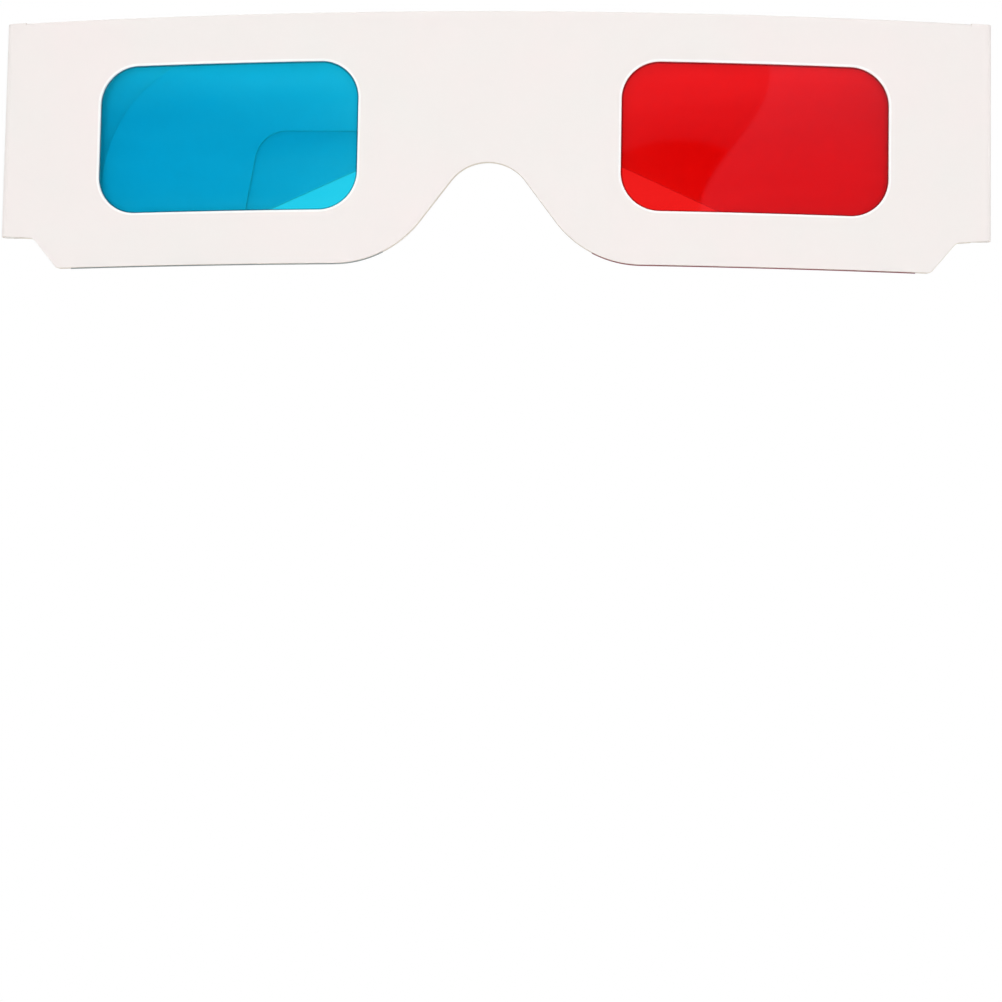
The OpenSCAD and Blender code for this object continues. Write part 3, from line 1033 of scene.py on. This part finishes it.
def surroundings():
    """White for the camera, an even soft light for the card, backdrop and dim room for mirrored rays."""
    world = bpy.data.worlds.new("white_studio")
    bpy.context.scene.world = world
    world.use_nodes = True
    tree = world.node_tree
    links, calc = tree.links.new, calculator(tree)
    ambient = tree.nodes["Background"]
    ambient.inputs["Color"].default_value = (1, 1, 1, 1)
    ambient.inputs["Strength"].default_value = AMBIENT
    white, room = add(tree, "ShaderNodeBackground"), add(tree, "ShaderNodeBackground")
    white.inputs["Color"].default_value = (1, 1, 1, 1)
    room.inputs["Color"].default_value = ROOM_TONE
    way = add(tree, "ShaderNodeSeparateXYZ")
    links(add(tree, "ShaderNodeTexCoord").outputs["Generated"], way.inputs[0])
    x, y, z = way.outputs
    links(room_glow(tree, calc, x, z), room.inputs["Strength"])
    seen, mirrored = seen_rays(tree, calc)
    around = mixed(tree, remap(tree, y, *BACKDROP), room.outputs[0], white.outputs[0])
    lighting = mixed(tree, mirrored, ambient.outputs[0], around)
    links(mixed(tree, seen, lighting, white.outputs[0]), tree.nodes["World Output"].inputs["Surface"])


surroundings()
print("surroundings with soft light of", AMBIENT)

# %% [markdown]
# ## Lamps
# Product pictures of flat white things use large soft lamps, because a small one draws hard
# shadows. One stands near the line of sight, so light goes straight through the windows. A weak
# one at each side lifts the creases, one hangs above, and one behind lights the backs of the
# arms. The front and side lamps are kept out of mirrored rays, or they would glare in the films.

# %% Lamps
# name: (place in metres, width, watts, whether the films mirror it)
LAMPS = {
    "front_lamp": ((0.05, -1.4, -0.25), 0.55, 8.2, False),
    "left_side_lamp": ((1.3, 0.0, 0.1), 0.8, 2.0, False),
    "right_side_lamp": ((-1.3, 0.0, 0.1), 0.8, 2.0, False),
    "top_lamp": ((-0.1, -0.6, 1.7), 1.2, 11.0, True),
    "rear_lamp": ((-0.2, 1.4, 0.9), 1.0, 13.0, True),
}


def soft_lamp(name, place, width, watts, mirrored):
    """Round soft lamp that points at the glasses."""
    lamp = bpy.data.lights.new(name, "AREA")
    lamp.shape, lamp.size, lamp.energy = "DISK", width, watts
    holder = bpy.data.objects.new(name, lamp)
    holder.location = place
    holder.visible_camera, holder.visible_glossy = False, mirrored
    holder.rotation_mode = "QUATERNION"
    holder.rotation_quaternion = (-Vector(place)).to_track_quat("-Z", "Y")
    bpy.context.scene.collection.objects.link(holder)


for name, facts in LAMPS.items():
    soft_lamp(name, *facts)
bpy.context.scene.view_settings.view_transform = "Standard"
print(len(LAMPS), "lamps")

# %% [markdown]
# ## Camera
# The picture was taken from about half a metre, a little below the glasses and to the right of
# their middle, with the camera turned by a degree. Aiming with a Track To constraint would level
# the camera again, so its axes are worked out from three angles. The lens is long, so the bow of
# the front looks shallow, and it fills the width of the picture.

# %% Camera
CAMERA_PLACE = (0.0334, -0.4673, -0.1007)
CAMERA_TURN, CAMERA_PITCH, CAMERA_ROLL = radians(3.75), radians(-6.09), radians(0.99)
FOCAL_LENGTH, SENSOR_WIDTH = 115.0, 36.0
NEAREST, FARTHEST = 0.01, 50


def photo_camera():
    """Camera below the glasses and to the right of their middle, looking up and a little to the left."""
    level = cos(CAMERA_PITCH)
    ahead = Vector((-sin(CAMERA_TURN) * level, cos(CAMERA_TURN) * level, -sin(CAMERA_PITCH)))
    right = Vector((cos(CAMERA_TURN), sin(CAMERA_TURN), 0))
    up = right.cross(ahead)
    tilted_right = right * cos(CAMERA_ROLL) + up * sin(CAMERA_ROLL)
    tilted_up = up * cos(CAMERA_ROLL) - right * sin(CAMERA_ROLL)
    lens = bpy.data.cameras.new("photo_camera")
    lens.lens, lens.sensor_width = FOCAL_LENGTH, SENSOR_WIDTH
    lens.clip_start, lens.clip_end = NEAREST, FARTHEST
    camera = bpy.data.objects.new("photo_camera", lens)
    bpy.context.scene.collection.objects.link(camera)
    place = Matrix((tilted_right, tilted_up, -ahead)).transposed().to_4x4()
    place.translation = Vector(CAMERA_PLACE)
    camera.matrix_world = place
    bpy.context.scene.camera = camera


photo_camera()
print("camera at", CAMERA_PLACE)
